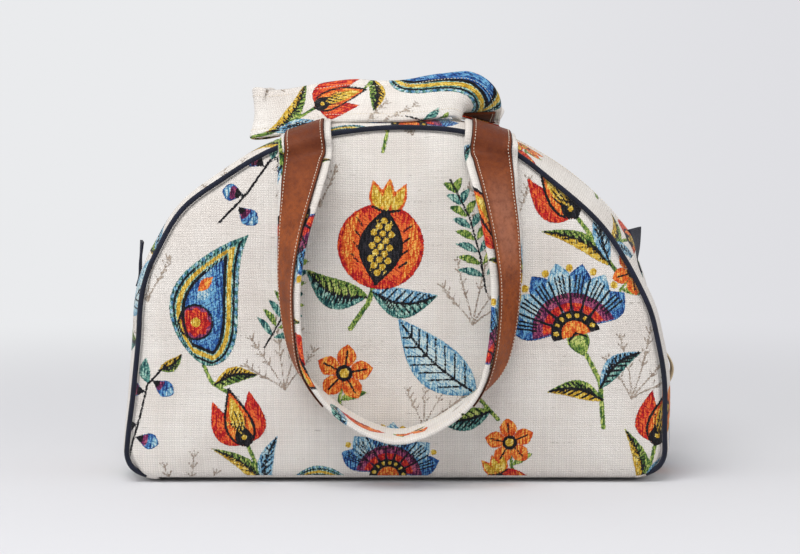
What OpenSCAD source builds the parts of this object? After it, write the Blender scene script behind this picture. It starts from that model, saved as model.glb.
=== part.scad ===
// Carpet bag: a half-moon tapestry bag with piped seams, a zip over the arch,
// and two strap handles faced with leather on their legs.
// Origin at the middle of the flat base, X along the width, front towards -Y, Z up.

/* [Body] */
// Radius of the arch at the panel seams
arch_r = 234; // [215:1:250]
// Height of the arch's top seam above the floor
arch_top = 291; // [280:1:310]
// Angle from the top of the arch to the seam at each zip end
arch_angle = 57; // [54:1:59]
// Radius of each shoulder below the arch
shoulder_r = 100; // [80:1:120]
// Lean of the lower sides from upright
side_lean = 3; // [1:0.5:6]
// Radius of the two bottom corners
corner_r = 22; // [15:1:30]
// Depth from the front seam to the back seam
seam_depth = 180; // [160:1:210]
// Height of the panel seams above the floor along the base
seam_lift = 5; // [4.5:0.5:7]
// How far the front and back panels swell past their seams
panel_swell = 14; // [6:1:18]
// How far the strip between the panels swells past the seams
gusset_swell = 10; // [6:1:14]
// Further bulge of the side strips halfway down the sides
side_bulge = 2; // [0:0.5:6]
// Share of the strip's half width that rounds over towards each seam
gusset_round = 0.45; // [0.3:0.05:0.6]
// Thickness of a wall of tapestry, wadding and lining
wall = 3; // [2:0.5:4]
// Diameter of the corded piping
piping_d = 5; // [4:0.5:8]
// Angle round the bottom corner at which the piping turns into the seam
piping_end = 158; // [140:1:160]

/* [Base board] */
// Thickness of the stiffener
board_t = 2.5; // [1.5:0.5:4]
// Margin between the stiffener and the walls
board_margin = 6; // [4:1:15]
// Corner radius of the stiffener
board_corner = 12; // [5:1:20]

/* [Zip] */
// Angle from the top of the arch to each end of the chain
zip_angle = 50; // [44:1:51]
// Width of the gap between the two strips at the zip
zip_gap = 18; // [16:0.5:24]
// Width of each zip tape
tape_w = 15; // [13:0.5:20]
// Thickness of the zip tapes
tape_t = 0.8; // [0.6:0.1:1.2]
// Width of one row of teeth
tooth_w = 3; // [2.5:0.1:3.5]
// Height of the teeth above the tape
tooth_h = 2.4; // [2:0.1:3]
// Depth of the notch between two teeth
tooth_notch = 0.8; // [0.4:0.1:1.2]
// Spacing of the teeth along the chain
tooth_pitch = 3; // [2.4:0.1:5]
// Gap between the two rows, in which the slider's divider runs
row_gap = 1.2; // [1.1:0.1:1.6]
// Running clearance all round the slider
slider_fit = 0.35; // [0.3:0.05:0.4]
// Length of the slider along the chain
slider_l = 12; // [10:0.5:16]
// Thickness of the slider's plates
slider_t = 1.4; // [1:0.1:2]
// Thickness of the slider's divider
divider_t = 0.5; // [0.3:0.05:0.5]
// Length of a zip stop along the chain
stop_l = 3; // [2:0.5:5]
// Length of the puller from its pin to its tip
puller_l = 28; // [20:1:30]
// Width of the puller's plate
puller_w = 7; // [6.6:0.2:9]
// Thickness of the puller
puller_t = 1.6; // [1.2:0.1:2]
// Diameter of the puller's pin
pin_d = 1.8; // [1.4:0.1:2]
// Radial clearance of the pin in the slider's lug
pin_fit = 0.08; // [0.05:0.01:0.1]
// Width of the slider's lug along the pin
lug_w = 2.4; // [2:0.1:3]

/* [Tabs] */
// Length of a folded tab below a zip end
tab_l = 30; // [26:1:44]
// Width of the tab's tape
tab_w = 24; // [18:1:30]
// Thickness of the two layers of tape
tab_t = 2.4; // [1.6:0.2:3]
// Height of the side loop's lower end above the floor
loop_z = 69; // [60:1:110]
// Length of the side loop
loop_l = 32; // [24:1:40]
// Width of the side loop
loop_w = 20; // [14:1:26]
// Thickness of the side loop's tape
loop_t = 1.5; // [1:0.1:2]
// How far the side loop bows out in its middle
loop_bow = 6; // [2:0.5:10]

/* [Handles] */
// Width of a strap
strap_w = 44; // [36:1:48]
// Thickness of a strap
strap_t = 4; // [3:0.5:5]
// Distance of each handle leg from the bag's middle
leg_x = 76; // [66:1:84]
// Distance of the back handle's legs from the bag's middle
back_leg_x = 68; // [64:1:76]
// Width of the leather facing
leather_w = 34; // [26:1:35]
// Thickness of the leather
leather_t = 1.6; // [1.2:0.1:2]
// Room between a strap and its leather, for the seam's thread
leather_gap = 0.5; // [0.4:0.05:0.8]
// Height of the middle of the front grip above the floor
front_grip_z = 43; // [30:1:60]
// Height of the middle of the raised grip's left end above the floor
grip_left_z = 303; // [300:1:308]
// Height of the middle of the raised grip's right end above the floor
grip_right_z = 319; // [316:1:322]
// Lean of the raised grip from upright in its middle
grip_lean = 41; // [38:1:46]
// Depth from the panel seam to the end of a strap sewn on the top strip
sewn_l = 28; // [22:1:32]
// Gap between a piece and the cloth that it is sewn to
sew_gap = 0.3; // [0.2:0.05:0.4]

/* [Hidden] */
$fn = 96;

tapestry = [0.87, 0.84, 0.78];
navy = [0.08, 0.09, 0.2];
leather = [0.42, 0.19, 0.09];
tan_tape = [0.76, 0.66, 0.5];
zip_metal = [0.6, 0.58, 0.55];

// Centres of the arch, the shoulders and the bottom corners
arch_z = arch_top - arch_r;
shoulder_x = (arch_r - shoulder_r) * sin(arch_angle);
shoulder_z = arch_z + (arch_r - shoulder_r) * cos(arch_angle);
side_angle = 90 - side_lean;
corner_z = seam_lift + corner_r;
corner_x = shoulder_x
    + (shoulder_r - corner_r + cos(side_angle) * (shoulder_z - corner_z)) / sin(side_angle);
seam_y = seam_depth / 2;
gusset_y = seam_y - wall;
piping_r = piping_d / 2;
// The piping rests in the corner outside the seam, off the panel and the strip alike
piping_out = piping_r / sqrt(2) + 0.05;

// Zip levels, measured outwards from the seam line
tape_top = gusset_swell - wall - sew_gap;
tape_bottom = tape_top - tape_t;
tooth_foot = tape_top + 0.05;
tooth_tip = tooth_foot + tooth_h;
chain_half = row_gap / 2 + tooth_w;
plate_in = tooth_tip + slider_fit;
plate_out = plate_in + slider_t;
slider_half = chain_half + slider_fit + slider_t;
lower_out = tape_bottom - slider_fit;
slider_angle = slider_l / (arch_r + plate_out) * 180 / PI;
stop_angle = stop_l / (arch_r + plate_out) * 180 / PI;
slider_rest = -(zip_angle - stop_angle - slider_angle / 2);
pin_level = plate_out + pin_d / 2 + 0.7;
lug_r = pin_d / 2 + pin_fit + 1;

// Points and small vector helpers
function unit(v) = v / norm(v);
function mix(a, b, f) = a + (b - a) * f;
function arc_steps(a, b, n) = [for (k = [0 : n]) mix(a, b, k / n)];

// A point of the seam outline at normal angle t, moved out by d
function arch_pt(t, d) = [(arch_r + d) * sin(t), arch_z + (arch_r + d) * cos(t)];
function shoulder_pt(t, d) = [shoulder_x + (shoulder_r + d) * sin(t), shoulder_z + (shoulder_r + d) * cos(t)];
function corner_pt(t, d) = [corner_x + (corner_r + d) * sin(t), corner_z + (corner_r + d) * cos(t)];

// Each stretch of the right half of the outline
shoulder_steps = 5;
side_steps = 4;
corner_steps = 7;
lower_steps = shoulder_steps + side_steps + 1 + corner_steps;
function side_run(d, n) = [
    for (k = [1 : n]) mix(shoulder_pt(side_angle, d), corner_pt(side_angle, d), k / (n + 1))
];
function lower_half(d, end) = concat(
    [for (t = arc_steps(arch_angle, side_angle, shoulder_steps)) shoulder_pt(t, d)],
    side_run(d, side_steps),
    [for (t = arc_steps(side_angle, end, corner_steps)) corner_pt(t, d)]
);
function arch_half(d) = [for (t = arc_steps(0, arch_angle, 9)) arch_pt(t, d)];
function half_outline(d) = concat(
    arch_half(d),
    [for (i = [1 : len(lower_half(d, 180)) - 1]) lower_half(d, 180)[i]],
    [for (k = [1 : 4]) [corner_x * (1 - k / 4), corner_z - corner_r - d]]
);
function mirrored(p) = [for (i = [len(p) - 1 : -1 : 0]) [-p[i][0], p[i][1]]];
function closed_outline(d) = let (h = half_outline(d), m = mirrored(h))
    concat(h, [for (i = [1 : len(m) - 2]) m[i]]);

// A closed skin over rings of equal length, with both ends capped.
// The two halves of a ring are split along matching diagonals, so a turning strap keeps its thickness,
// and from ring turn_at on the diagonals are mirrored, so a strap's two legs match. swap turns them all over.
module skin(rings, turn_at = 1000, swap = false) {
    n = len(rings);
    m = len(rings[0]);
    points = [for (r = rings) each r];
    sides = [
        for (i = [0 : n - 2]) for (j = [0 : m - 1])
            let (a = i * m + j, b = i * m + (j + 1) % m)
                let (upper = (j < m / 2) == ((i < turn_at) != swap))
                    each (upper ? [[a, b + m, b], [a, a + m, b + m]] : [[a, a + m, b], [b, a + m, b + m]])
    ];
    caps = [[for (j = [0 : m - 1]) j], [for (j = [m - 1 : -1 : 0]) (n - 1) * m + j]];
    polyhedron(points, concat(sides, caps));
}

// Front and back panels
panel_mid_z = 130;
panel_rings = [0.12, 0.35, 0.6, 0.8, 0.92, 0.975, 1];
function panel_bulge(s) = panel_swell * pow(1 - pow(s, 2.6), 0.6);
function panel_ring(s, inset) = [
    for (p = closed_outline(0))
        [p[0] * s, inset - seam_y - panel_bulge(s), panel_mid_z + (p[1] - panel_mid_z) * s]
];
module panel() {
    n = len(panel_rings);
    skin(concat(
        [for (s = panel_rings) panel_ring(s, 0)],
        [for (i = [n - 1 : -1 : 0]) panel_ring(panel_rings[i], wall)]
    ));
}
module front_panel() { color(tapestry) panel(); }
module back_panel() { color(tapestry) mirror([0, 1, 0]) panel(); }

// A ribbon of the given section along stations [x, y, z, hx, hy, hz], where h points across it
function at(s) = [s[0], s[1], s[2]];
function hint(s) = [s[3], s[4], s[5]];
function heading(p, i) = unit(at(p[min(i + 1, len(p) - 1)]) - at(p[max(i - 1, 0)]));
function across(p, i) = let (t = heading(p, i), h = hint(p[i])) unit(h - (h * t) * t);
function ribbon_ring(p, i, section) =
    let (t = heading(p, i), w = across(p, i), n = cross(t, w))
        [for (q = section) at(p[i]) + q[0] * w + q[1] * n];
function catmull(a, b, c, d, t) = 0.5 * (
    2 * b + (c - a) * t + (2 * a - 5 * b + 4 * c - d) * t * t + (3 * b - a - 3 * c + d) * t * t * t
);
function smooth_path(p, n) = concat(
    [
        for (i = [0 : len(p) - 2]) for (k = [0 : n - 1])
            catmull(p[max(i - 1, 0)], p[i], p[i + 1], p[min(i + 2, len(p) - 1)], k / n)
    ],
    [p[len(p) - 1]]
);
function flip_x(s) = [-s[0], s[1], s[2], -s[3], s[4], s[5]];
// Flat section w wide and t thick, raised off the middle by lift, with eased edges
function flat_section(w, t, lift, ease) = let (x = w / 2, y = t / 2) [
    for (q = [
        [x, ease - y], [x, y - ease], [x - ease, y], [ease - x, y],
        [-x, y - ease], [-x, ease - y], [ease - x, -y], [x - ease, -y]
    ]) [q[0], q[1] + lift]
];
module ribbon(p, first, last, section, turn_at = 1000, swap = false) {
    skin([for (i = [first : last]) ribbon_ring(p, i, section)], turn_at, swap);
}

// Piping
function piping_line() = let (h = concat(
        arch_half(piping_out),
        [for (i = [1 : len(lower_half(0, piping_end)) - 1]) lower_half(piping_out, piping_end)[i]]
    ))
    [
        for (p = concat(mirrored(h), [for (i = [1 : len(h) - 1]) h[i]]))
            [p[0], -seam_y - piping_out, p[1], 0, 1, 0]
    ];
piping_section = [for (a = [0 : 45 : 315]) piping_r * [cos(a), sin(a)]];
module piping() {
    line = piping_line();
    ribbon(line, 0, len(line) - 1, piping_section);
}
module front_piping() { color(navy) piping(); }
module back_piping() { color(navy) mirror([0, 1, 0]) piping(); }

// The strip between the panels: [y, rise] of its rounded section, from the back seam to the middle
gusset_edge = [
    for (a = [0 : 22.5 : 90]) [gusset_y * (1 - gusset_round * (1 - cos(a))), sin(a)]
];
// Outer line of the strip from +Y to -Y
gusset_line = concat(
    gusset_edge,
    [for (i = [len(gusset_edge) - 1 : -1 : 0]) [-gusset_edge[i][0], gusset_edge[i][1]]]
);
function gusset_ring(pt, n, swell) = concat(
    [for (q = gusset_line) let (d = swell * q[1]) [pt[0] + n[0] * d, q[0], pt[1] + n[1] * d]],
    [
        for (i = [len(gusset_line) - 1 : -1 : 0])
            let (q = gusset_line[i], d = swell * q[1] - wall) [pt[0] + n[0] * d, q[0], pt[1] + n[1] * d]
    ]
);
function side_swell(i) =
    mix(gusset_swell, seam_lift, i / lower_steps) + side_bulge * sin(180 * i / lower_steps);
module side_gusset() {
    line = lower_half(0, 180);
    out = lower_half(1, 180);
    last = len(line) - 1;
    skin([
        for (i = [0 : last])
            gusset_ring(line[i], out[i] - line[i], side_swell(i))
    ]);
}
module side_gusset_right() { color(tapestry) side_gusset(); }
module side_gusset_left() { color(tapestry) mirror([1, 0, 0]) side_gusset(); }

// Underside, with the same section as the ends of the side strips
module base_panel() {
    section = concat(
        [for (q = gusset_line) [q[0], seam_lift * (1 - q[1])]],
        [
            for (i = [len(gusset_line) - 1 : -1 : 0])
                [gusset_line[i][0], seam_lift * (1 - gusset_line[i][1]) + wall]
        ]
    );
    color(tapestry) translate([-corner_x, 0, 0]) rotate([90, 0, 90]) linear_extrude(2 * corner_x)
        polygon(section);
}
module base_board() {
    half_x = corner_x - board_margin - board_corner;
    half_y = gusset_y * (1 - gusset_round) - board_corner;
    color("dimgray") translate([0, 0, wall]) linear_extrude(board_t) union() {
        square([2 * half_x, 2 * (half_y + board_corner)], center = true);
        square([2 * (half_x + board_corner), 2 * half_y], center = true);
        for (x = [-half_x, half_x]) for (y = [-half_y, half_y]) translate([x, y]) circle(board_corner);
    }
}

// Pieces that follow the arch
module arch_sweep(from, to) {
    translate([0, 0, arch_z]) rotate([90, 0, 0]) rotate([0, 0, 90 - to])
        rotate_extrude(angle = to - from) children();
}
// A rectangle of the section, from y0 to y1 and from level d0 to d1 outwards of the seam line
module zone(y0, y1, d0, d1) {
    translate([arch_r + d0, -y1]) square([d1 - d0, y1 - y0]);
}
module zip_gusset() {
    outer = concat(
        [for (q = gusset_edge) [arch_r + gusset_swell * q[1], q[0]]],
        [[arch_r + gusset_swell, zip_gap / 2]]
    );
    inner = [for (i = [len(outer) - 1 : -1 : 0]) outer[i] - [wall, 0]];
    arch_sweep(-arch_angle, arch_angle) polygon(concat(outer, inner));
}
module zip_gusset_front() { color(tapestry) zip_gusset(); }
module zip_gusset_back() { color(tapestry) mirror([0, 1, 0]) zip_gusset(); }

module zip_tape() {
    arch_sweep(-arch_angle, arch_angle) zone(-row_gap / 2 - tape_w, -row_gap / 2, tape_bottom, tape_top);
}
module zip_tape_front() { color(navy) zip_tape(); }
module zip_tape_back() { color(navy) mirror([0, 1, 0]) zip_tape(); }

// One row of the chain; the other row stands half a pitch along
tooth_step = tooth_pitch / (arch_r + tooth_tip) * 180 / PI;
tooth_count = floor(2 * (zip_angle - stop_angle) / tooth_step) - 1;
function ridge(k, phase) = let (a = (k + phase - tooth_count / 2) * tooth_step)
    [for (q = [[0, tooth_notch], [0.15, 0], [0.6, 0], [0.75, tooth_notch]])
        arch_pt(a + q[0] * tooth_step, tooth_tip - q[1])];
module zip_teeth(phase) {
    tips = [for (k = [0 : tooth_count - 1]) each ridge(k, phase)];
    half = tooth_count * tooth_step / 2;
    shift = phase * tooth_step;
    feet = [for (t = arc_steps(shift + half, shift - half, 48)) arch_pt(t, tooth_foot)];
    translate([0, -row_gap / 2, 0]) rotate([90, 0, 0]) linear_extrude(tooth_w) polygon(concat(tips, feet));
}
module zip_teeth_front() { color(zip_metal) zip_teeth(0); }
module zip_teeth_back() { color(zip_metal) mirror([0, 1, 0]) zip_teeth(0.5); }

module zip_stop() {
    arch_sweep(zip_angle - stop_angle, zip_angle) zone(-chain_half, chain_half, tooth_foot, plate_in);
}
module zip_top_stop() { color(zip_metal) mirror([1, 0, 0]) zip_stop(); }
module zip_bottom_stop() { color(zip_metal) zip_stop(); }

// A place on the chain, with X along it and Z outwards
module on_chain(angle) {
    translate([0, 0, arch_z]) rotate([0, angle, 0]) translate([0, 0, arch_r]) children();
}
module zip_slider() {
    flange_foot = tape_top + slider_fit;
    flange_in = chain_half + slider_fit;
    color(zip_metal) union() {
        arch_sweep(slider_rest - slider_angle / 2, slider_rest + slider_angle / 2) union() {
            zone(-slider_half, slider_half, plate_in, plate_out);
            zone(-slider_half, -flange_in, flange_foot, plate_in);
            zone(flange_in, slider_half, flange_foot, plate_in);
            zone(-divider_t / 2, divider_t / 2, lower_out, plate_in);
            zone(-slider_half, slider_half, lower_out - slider_t, lower_out);
        }
        on_chain(slider_rest) rotate([90, 0, 0]) linear_extrude(lug_w, center = true) difference() {
            union() {
                translate([0, pin_level]) circle(lug_r);
                translate([-lug_r, plate_out - slider_t / 2])
                    square([2 * lug_r, pin_level - plate_out + slider_t / 2]);
            }
            translate([0, pin_level]) circle(pin_d / 2 + pin_fit);
        }
    }
}
// Pin, two arms and a plate with a rounded, pierced end
module zip_puller() {
    arm_in = lug_w / 2 + 0.4;
    arm_out = arm_in + 1.3;
    plate_x = lug_r + 3;
    color(zip_metal) on_chain(slider_rest) translate([0, 0, pin_level]) union() {
        rotate([90, 0, 0]) cylinder(d = pin_d, h = 2 * arm_out, center = true);
        linear_extrude(puller_t, center = true) difference() {
            union() {
                for (y = [-arm_out, arm_in]) translate([0, y]) square([plate_x + 1, arm_out - arm_in]);
                translate([plate_x, -puller_w / 2]) square([puller_l - plate_x - puller_w / 2, puller_w]);
                translate([puller_l - puller_w / 2, 0]) circle(puller_w / 2);
            }
            translate([puller_l - puller_w / 2, 0]) circle(puller_w / 4);
        }
    }
}

// Folded tabs below the zip's ends, standing up: the right one is turned to the front
tab_section = flat_section(tab_w, tab_t, 0, 0.5);
function tab_foot(t) =
    side_swell((t - arch_angle) / (side_angle - arch_angle) * shoulder_steps) + tab_t / 2 + sew_gap;
tab_y = -20;
// The path of a tab that starts at this angle of the shoulder, leans out and turns to the front
function tab_path(start, lean, turn) =
    let (foot = shoulder_pt(start, tab_foot(start)), low = shoulder_pt(start + 4, tab_foot(start + 4)))
        smooth_path([
            [low[0], tab_y, low[1], 0, 1, 0],
            [foot[0] + 0.3, tab_y, foot[1] + 1, 0.05, 1, 0],
            [foot[0] + 0.4 * lean + 0.5, tab_y, foot[1] + 0.45 * tab_l, turn / 2, 1, 0],
            [foot[0] + lean, tab_y, foot[1] + tab_l, turn, 1, 0]
        ], 4);
right_tab_path = tab_path(arch_angle + 7, -2, 0.6);
left_tab_path = [for (s = tab_path(arch_angle + 15, 3, 0.15)) flip_x(s)];
module zip_tab_right() { color(navy) ribbon(right_tab_path, 0, len(right_tab_path) - 1, tab_section); }
module zip_tab_left() { color(navy) ribbon(left_tab_path, 0, len(left_tab_path) - 1, tab_section); }

// Tan loop on the right side strip, sewn down at both ends and bowed between them
module side_loop() {
    top = shoulder_pt(side_angle, 0);
    foot = corner_pt(side_angle, 0);
    reach = loop_t / 2 + sew_gap;
    path = [
        for (k = [0 : 10])
            let (f = (loop_z + loop_l * k / 10 - top[1]) / (foot[1] - top[1]))
                let (p = mix(top, foot, f), swell = side_swell(shoulder_steps + f * (side_steps + 1)))
                    [p[0] + swell + reach + loop_bow * sin(18 * k), 0, p[1], 0, 1, 0]
    ];
    color(tan_tape) ribbon(path, 0, len(path) - 1, flat_section(loop_w, loop_t, 0, 0.3));
}

// Handles: stations of the right half, from the end sewn beside the zip to the middle of the grip
strap_lift = gusset_swell + sew_gap + strap_t / 2;
function top_z(x, d) = arch_z + sqrt(pow(arch_r + d, 2) - x * x);
function over_arch(y, d) = [leg_x, y, top_z(leg_x, d)];
leg_tilt = asin(leg_x / (arch_r + strap_lift));
leg_across = [-cos(leg_tilt), 0, sin(leg_tilt)];
// Depth of the hanging strap's middle when it has turned by angle a
hang_face = -seam_y - panel_swell - strap_t / 2 - 0.6;
function hang(x, z, a, dip = 0) =
    [x, hang_face - (strap_w - strap_t) / 2 * sin(a), z, -cos(a), -sin(a), -dip];
over_piping = seam_y + piping_out + piping_r + strap_t / 2;
// turn is a leg's share of turning edge-on compared with the right one, and the grip's near edge dips
grip_dip = 0.16;
function front_half(turn) = [
    concat(over_arch(sewn_l - seam_y, strap_lift), leg_across),
    concat(over_arch(-gusset_y * 0.86, strap_lift - 0.7), leg_across),
    concat(over_arch(-over_piping + 8, strap_lift - 2.4), leg_across),
    concat(over_arch(-over_piping - 1.5, piping_out + 2), leg_across),
    concat(over_arch(-over_piping - 4.5, -10), leg_across),
    hang(leg_x + 3, 245, 34),
    hang(leg_x + 9, 207, 46 * turn),
    hang(leg_x + 12, 168, 55 * turn),
    hang(leg_x + 9, 127, 61 * turn),
    hang(leg_x + 1, front_grip_z + 54, 68 * turn),
    hang(leg_x - 18, front_grip_z + 29, 88, grip_dip / 2),
    hang(leg_x - 42, front_grip_z + 11, 90, grip_dip),
    hang(leg_x - 63, front_grip_z + 2, 90, grip_dip),
    hang(0, front_grip_z, 90, grip_dip)
];
function joined(left, right) = concat(
    [for (s = left) flip_x(s)],
    [for (i = [len(right) - 2 : -1 : 0]) right[i]]
);
strap_steps = 3;
strap_section = flat_section(strap_w, strap_t, 0, 1);
leather_section = flat_section(leather_w, leather_t, strap_t / 2 + leather_t / 2 + leather_gap, 0.4);
front_left = front_half(1.2);
front_path = smooth_path(joined(front_left, front_half(1)), strap_steps);
front_leather_end = 10 * strap_steps;
module handle(path, middle, swap) {
    ribbon(path, 0, len(path) - 1, strap_section, middle * strap_steps, swap);
}
module leather_left(path, end, swap) { ribbon(path, 1, end, leather_section, 1000, swap); }
module leather_right(path, end, swap) {
    last = len(path) - 1;
    ribbon(path, last - end, last - 1, leather_section, 0, swap);
}
module front_handle() { color(tapestry) handle(front_path, len(front_left) - 1, false); }
module front_handle_leather_left() { color(leather) leather_left(front_path, front_leather_end, false); }
module front_handle_leather_right() { color(leather) leather_right(front_path, front_leather_end, false); }

// The back handle is turned up and forward over the zip. Its legs fold back on themselves, leather down,
// and its grip stands just behind the front piping: the left end turns on edge, the right one folds over.
function strip_rise(y) = let (f = (1 - abs(y) / gusset_y) / gusset_round) f < 1 ? sin(acos(1 - f)) : 1;
over_zip = pin_level + lug_r + 1 + leather_t + leather_gap + strap_t / 2;
back_tilt = asin(back_leg_x / (arch_r + strap_lift));
lies = [cos(back_tilt), 0, -sin(back_tilt)];
function leg(x, y, d, w) = concat([x, y, top_z(x, d)], w);
// A station of the grip whose lower edge stands over the strip at foot_y, raised by lift
function grip(x, foot_y, lean, lift = 0) = [
    x, foot_y + strap_w / 2 * sin(lean),
    top_z(x, gusset_swell * strip_rise(foot_y)) + 2 * sew_gap + lift
        + strap_w / 2 * cos(lean) + strap_t / 2 * sin(lean),
    0, sin(lean), cos(lean)
];
fold_r = 7.6;
back_fold = [
    leg(back_leg_x, seam_y - sewn_l, strap_lift, lies),
    leg(back_leg_x, gusset_y * 0.86, strap_lift - 0.3, lies),
    for (a = [-90 : 45 : 90])
        let (r = arch_r + strap_lift + fold_r * (1 + sin(a)), y = over_piping - 3 + fold_r * cos(a))
            concat([r * sin(back_tilt), y, arch_z + r * cos(back_tilt)], lies)
];
grip_foot = sewn_l - seam_y + 3;
grip_mid = grip(0, 4 - gusset_y, grip_lean);
back_left = concat(back_fold, [
    leg(back_leg_x + 5, gusset_y - 25, over_zip + 7, lies),
    leg(back_leg_x + 13, 32, over_zip + 5, [1, 0, 0.05]),
    [back_leg_x + 22, 6, grip_left_z + 5, 0.85, 0, 0.5],
    [back_leg_x + 36, -16, grip_left_z + 1, 0.4, 0.2, 0.88],
    [back_leg_x + 46, -30, grip_left_z - 0.5, 0.1, 0.4, 0.9],
    [back_leg_x + 50, -42, grip_left_z, 0, 0.5, 0.87],
    [back_leg_x + 42, -50, grip_left_z, 0, 0.5, 0.83],
    grip(back_leg_x + 20, grip_foot, 37, 2.5),
    grip(back_leg_x - 12, grip_foot - 1, 42, 0.5),
    grip(back_leg_x - 40, 9 - gusset_y, 43),
    grip_mid
]);
back_right = concat(back_fold, [
    leg(back_leg_x + 3.5, gusset_y - 25, over_zip + 7, lies),
    leg(back_leg_x - 1, 22, over_zip + 1, lies),
    leg(back_leg_x - 3, -12, over_zip + 1, [0.98, 0, -0.15]),
    [back_leg_x - 3, -34, grip_right_z - 13, 1, 0, 0.05],
    [back_leg_x - 5, -46, grip_right_z - 7, 0.85, 0.1, 0.5],
    [back_leg_x - 13, -53, grip_right_z - 1.5, 0.45, 0.4, 0.82],
    [back_leg_x - 28, -57, grip_right_z - 0.5, 0, 0.62, 0.79],
    grip(back_leg_x - 48, 7 - gusset_y, 41, 1.5),
    grip_mid
]);
back_path = smooth_path(joined(back_left, back_right), strap_steps);
back_left_end = 9 * strap_steps;
back_right_end = 10 * strap_steps;
module back_handle() { color(tapestry) handle(back_path, len(back_left) - 1, true); }
module back_handle_leather_left() { color(leather) leather_left(back_path, back_left_end, true); }
module back_handle_leather_right() { color(leather) leather_right(back_path, back_right_end, true); }

front_panel();
back_panel();
front_piping();
back_piping();
side_gusset_left();
side_gusset_right();
base_panel();
base_board();
zip_gusset_front();
zip_gusset_back();
zip_tape_front();
zip_tape_back();
zip_teeth_front();
zip_teeth_back();
zip_top_stop();
zip_bottom_stop();
zip_tab_left();
zip_tab_right();
side_loop();
front_handle();
front_handle_leather_left();
front_handle_leather_right();
back_handle();
back_handle_leather_left();
back_handle_leather_right();
zip_slider();
zip_puller();
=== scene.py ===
import math

import bmesh
import bpy
import numpy as np
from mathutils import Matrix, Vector
from mathutils.kdtree import KDTree


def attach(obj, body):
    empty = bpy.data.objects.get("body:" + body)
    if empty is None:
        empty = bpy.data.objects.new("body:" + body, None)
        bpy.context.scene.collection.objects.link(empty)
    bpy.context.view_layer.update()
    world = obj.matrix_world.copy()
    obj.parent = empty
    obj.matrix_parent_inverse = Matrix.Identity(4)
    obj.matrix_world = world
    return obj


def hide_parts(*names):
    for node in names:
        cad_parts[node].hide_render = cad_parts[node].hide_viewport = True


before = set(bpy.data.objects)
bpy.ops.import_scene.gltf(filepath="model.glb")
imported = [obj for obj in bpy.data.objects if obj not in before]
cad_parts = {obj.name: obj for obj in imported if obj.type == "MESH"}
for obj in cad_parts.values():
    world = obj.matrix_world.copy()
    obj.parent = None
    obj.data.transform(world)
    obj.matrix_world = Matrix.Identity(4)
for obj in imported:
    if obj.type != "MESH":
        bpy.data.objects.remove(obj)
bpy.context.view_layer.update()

# Studio
# A pale floor that runs back into an even pale surround, lit by a broad lamp above the front, two
# weak ones at the sides and soft light from all round. The camera looks a little down on the bag.
scene = bpy.context.scene
scene.view_settings.view_transform = "Standard"
look_at = Vector((0.0016, -0.097, 0.1706))
view_distance = 2.2
view_width = 0.656
view_rise = math.radians(5)
camera_data = bpy.data.cameras.new("camera")
camera_data.sensor_width = 36
camera_data.lens = camera_data.sensor_width * view_distance / view_width
camera = bpy.data.objects.new("camera", camera_data)
camera.location = look_at + view_distance * Vector((0, -math.cos(view_rise), math.sin(view_rise)))
camera.rotation_euler = (math.pi / 2 - view_rise, 0, 0)
scene.collection.objects.link(camera)
scene.camera = camera


def srgb(red, green, blue):
    """A colour as it is seen, from 0 to 255, as the linear values that a shader takes."""
    seen = np.array([red, green, blue]) / 255
    linear = np.where(seen < 0.04045, seen / 12.92, ((seen + 0.055) / 1.055) ** 2.4)
    return (*(float(x) for x in linear), 1.0)


def add(tree, kind, *inputs, **settings):
    """A shader node with its settings and its inputs in order. A node or socket is linked."""
    node = tree.nodes.new("ShaderNode" + kind)
    for key, value in settings.items():
        setattr(node, key, value)
    for socket, value in zip(node.inputs, inputs):
        if isinstance(value, bpy.types.Node):
            tree.links.new(value.outputs[0], socket)
        elif isinstance(value, bpy.types.NodeSocket):
            tree.links.new(value, socket)
        elif value is not None:
            socket.default_value = value
    return node


def math_node(tree, operation, *inputs):
    return add(tree, "Math", *inputs, operation=operation)


def times(tree, *inputs):
    return math_node(tree, "MULTIPLY", *inputs)


def mix(tree, share, first, second):
    """The first colour with this share of the second."""
    return add(tree, "MixRGB", share, first, second)


def ramp(tree, value, low, high, start=0.0, end=1.0):
    """A smooth step of the value, from start at low to end at high."""
    return add(tree, "MapRange", value, low, high, start, end, interpolation_type="SMOOTHSTEP")


def object_spot(tree):
    return add(tree, "TexCoord").outputs["Object"]


def seen_ray(tree):
    """One for rays from the camera and for what shows in metal and glass, nought for light."""
    rays = add(tree, "LightPath").outputs
    mirrored = math_node(tree, "MAXIMUM", rays["Is Glossy Ray"], rays["Is Transmission Ray"])
    return math_node(tree, "MAXIMUM", rays["Is Camera Ray"], mirrored)


def surround_tone(tree, place, far):
    """The surround's colour, a little darker towards the right."""
    axes = add(tree, "SeparateXYZ", place)
    depth = math_node(tree, "ADD", math_node(tree, "ABSOLUTE", axes.outputs["Y"]), far)
    turn = math_node(tree, "DIVIDE", axes.outputs["X"], depth)
    return mix(tree, ramp(tree, turn, -0.08, 0.17), srgb(234, 235, 237), srgb(223, 223, 227))


surround_light = 0.635
world = bpy.data.worlds.new("surround")
world.use_nodes = True
tree = world.node_tree
tree.nodes.clear()
lit = add(tree, "Background", (1.0, 0.99, 0.985, 1), surround_light)
direction = add(tree, "TexCoord").outputs["Generated"]
shown = add(tree, "Background", surround_tone(tree, direction, 0.0), 1.0)
add(tree, "OutputWorld", add(tree, "MixShader", seen_ray(tree), lit, shown))
scene.world = world


def mesh_from(bm, name):
    mesh = bpy.data.meshes.new(name)
    bm.to_mesh(mesh)
    bm.free()
    return mesh


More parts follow.
